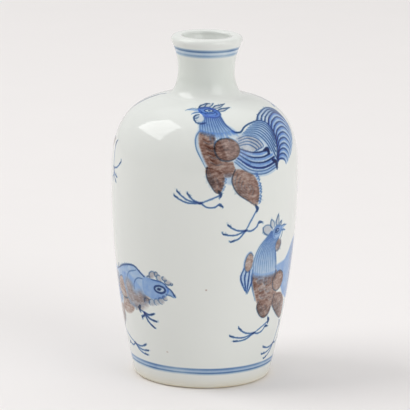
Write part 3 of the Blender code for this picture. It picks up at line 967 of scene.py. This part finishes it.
# The glaze thins over the foot's edge and stops short of the ring
EDGE_WANDER = 0.0012
GLAZE_FADE = 0.004
edge_shift = reckon("MULTIPLY_ADD", noise(here, 0.004, 4.0), EDGE_WANDER, -EDGE_WANDER / 2)
glaze_height = reckon("ADD", height_in, edge_shift)
# The bare body's warm buff, fading out up the foot, is its own colour. Its deepest tone, right at the bottom
# edge, is painted contact shade.
foot_clay_and_shade = add("ShaderNodeValToRGB", {"Fac": reckon("DIVIDE", glaze_height, GLAZE_FADE)})
FOOT_CLAY_AND_SHADE_TONES = ((0.0, "#FBEBD2"), (0.07, "#FDF1DE"), (0.14, "#FFF8EC"), (0.3, "#FFFAF2"), (0.6, "#FFFDFB"),
              (0.95, "#FFFFFF"))
ramp(foot_clay_and_shade, [(place, linear(tone)) for place, tone in FOOT_CLAY_AND_SHADE_TONES])
colour = tinted(colour, foot_clay_and_shade.outputs[0])
# Painted shade: the neck is tinted a little greyer between its root and the lip, most across its waist
neck_painted_shade = add("ShaderNodeValToRGB", {"Fac": band_place})
NECK_SHADE_TONES = ((0.83, "#FFFFFF"), (0.87, "#F8FAF8"), (0.935, "#F8FAF8"), (0.96, "#FFFFFF"))
ramp(neck_painted_shade, [(place, linear(tone)) for place, tone in NECK_SHADE_TONES])
colour = tinted(colour, neck_painted_shade.outputs[0])
roughness = spread(glaze_height, 0.0007, 0.0013, BARE_ROUGHNESS, GLAZE_ROUGHNESS)

# The glaze's own ripple, a few millimetres from crest to crest and a hundredth of one high
RIPPLE = 0.000006
ripple = noise(here, 0.0045, 1.0)
rippled = add("ShaderNodeBump", {"Height": ripple, "Distance": RIPPLE, "Strength": 1.0}).outputs["Normal"]
tree.links.new(colour, shader.inputs["Base Color"])
tree.links.new(roughness, shader.inputs["Roughness"])
tree.links.new(rippled, shader.inputs["Normal"])
shader.inputs["IOR"].default_value = GLAZE_IOR
shader.inputs["Metallic"].default_value = 0.0
mesh.materials.clear()
mesh.materials.append(glazed)


# The stage: a plain sheet of warm white paper, a tall softbox that stands on the left and is mirrored in the
# shoulder, two weaker panels in front on the right, a pale one overhead, and a camera a little above.
bpy.ops.mesh.primitive_plane_add(size=8.0, location=(0.0, 0.0, 0.0))
floor = bpy.context.object
floor.name = "paper_floor"
paper = bpy.data.materials.new("matt_white_paper")
paper.use_nodes = True
tree = paper.node_tree
shader = tree.nodes["Principled BSDF"]
here = add("ShaderNodeTexCoord", {}).outputs["Object"]
fibre = noise(here, 0.03, 3.0)
sheet = add("ShaderNodeMix", {0: fibre, 6: linear("#EDEAE9"), 7: linear("#EFECEB")}, data_type="RGBA")
tree.links.new(sheet.outputs[2], shader.inputs["Base Color"])
shader.inputs["Roughness"].default_value = 0.9
floor.data.materials.append(paper)


def softbox(name, place, facing, width, tall, radiance, roll=0.0):
    """A flat lamp that far across and tall, with its brightness given as radiance."""
    lamp = bpy.data.lights.new(name, "AREA")
    lamp.shape = "RECTANGLE"
    lamp.size = width
    lamp.size_y = tall
    lamp.energy = radiance * math.pi * width * tall
    holder = bpy.data.objects.new(name, lamp)
    bpy.context.collection.objects.link(holder)
    holder.location = place
    aimed = (-Vector(facing)).to_track_quat("Z", "Y").to_matrix()
    holder.rotation_euler = (aimed @ Matrix.Rotation(math.radians(roll), 3, "Z")).to_euler()


SHOULDER_SHARE = 0.8


def towards(direction, distance):
    """A place at that distance from the bottle's shoulder, and the way back to the bottle."""
    away = Vector(direction).normalized()
    return away * distance + Vector((0.0, 0.0, HEIGHT * SHOULDER_SHARE)), -away


softbox("left_softbox", (-0.778, 0.05, 1.116), (0.977, 0.209, -0.034), 0.78, 1.18, 3.25, roll=-3.0)
softbox("right_softbox", *towards((0.62, -0.62, 0.48), 1.1), 0.7, 0.7, 1.6)
softbox("right_wall", *towards((0.75, -0.62, 0.26), 1.4), 1.6, 1.4, 0.6)
softbox("top_panel", *towards((0.0, 0.25, 1.0), 1.2), 1.4, 1.4, 0.32)

# The room is darker behind the camera than at the sides and at the back
world = bpy.data.worlds.new("studio_walls")
bpy.context.scene.world = world
world.use_nodes = True
tree = world.node_tree
background = tree.nodes["Background"]
sky = add("ShaderNodeTexCoord", {}).outputs["Generated"]
depth = add("ShaderNodeSeparateXYZ", {0: sky}).outputs["Y"]
tree.links.new(spread(depth, -1.0, 0.3, 0.25, 0.82), background.inputs["Strength"])
background.inputs["Color"].default_value = linear("#F4F3F2")
bpy.context.scene.view_settings.view_transform = "Standard"

LENS = 271.98
CAMERA_PLACE = Vector((0.0, -0.700, 0.2047))
CAMERA_AIM = Vector((0.000165, 0.0, 0.03985))
CAMERA_ROLL = math.radians(0.88)
camera_data = bpy.data.cameras.new("photo_camera")
camera_data.lens = LENS
camera_data.sensor_width = 36.0
camera = bpy.data.objects.new("photo_camera", camera_data)
bpy.context.collection.objects.link(camera)
look = (CAMERA_PLACE - CAMERA_AIM).to_track_quat("Z", "Y").to_matrix().to_4x4()
camera.matrix_world = Matrix.Translation(CAMERA_PLACE) @ look @ Matrix.Rotation(CAMERA_ROLL, 4, "Z")
bpy.context.scene.camera = camera
